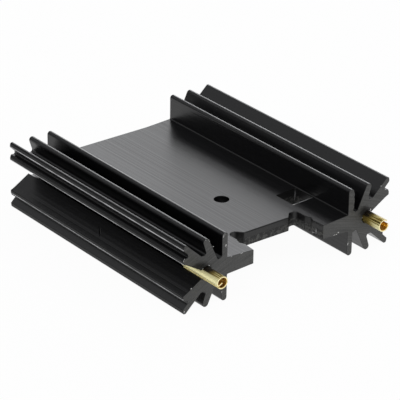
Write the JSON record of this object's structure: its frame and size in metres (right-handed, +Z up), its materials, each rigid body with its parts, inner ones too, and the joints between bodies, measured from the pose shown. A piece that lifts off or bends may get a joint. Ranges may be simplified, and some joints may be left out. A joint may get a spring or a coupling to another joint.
{
  "type": "transistor heat sink",
  "caption": "Black finned aluminium extrusion that cools a power transistor clipped to its flat seat, with rolled pins that solder it upright to a circuit board.",
  "frame": {"origin": "below the middle of the whole part with its pins, on the surface that it lies on", "axes": "+Y along the extrusion, away from the pins; +X across the fins; +Z up from the plate"},
  "size_m": [0.0452, 0.0552, 0.0127],
  "materials": {
    "black_anodised_aluminium": "black anodised, satin, with fine die lines along the extrusion",
    "bright_brass": "bright rolled strip"
  },
  "bodies": {
    "root": {"heat_sink": "black_anodised_aluminium", "solder_pin_left": "bright_brass", "solder_pin_right": "bright_brass"}
  },
  "joints": []
}
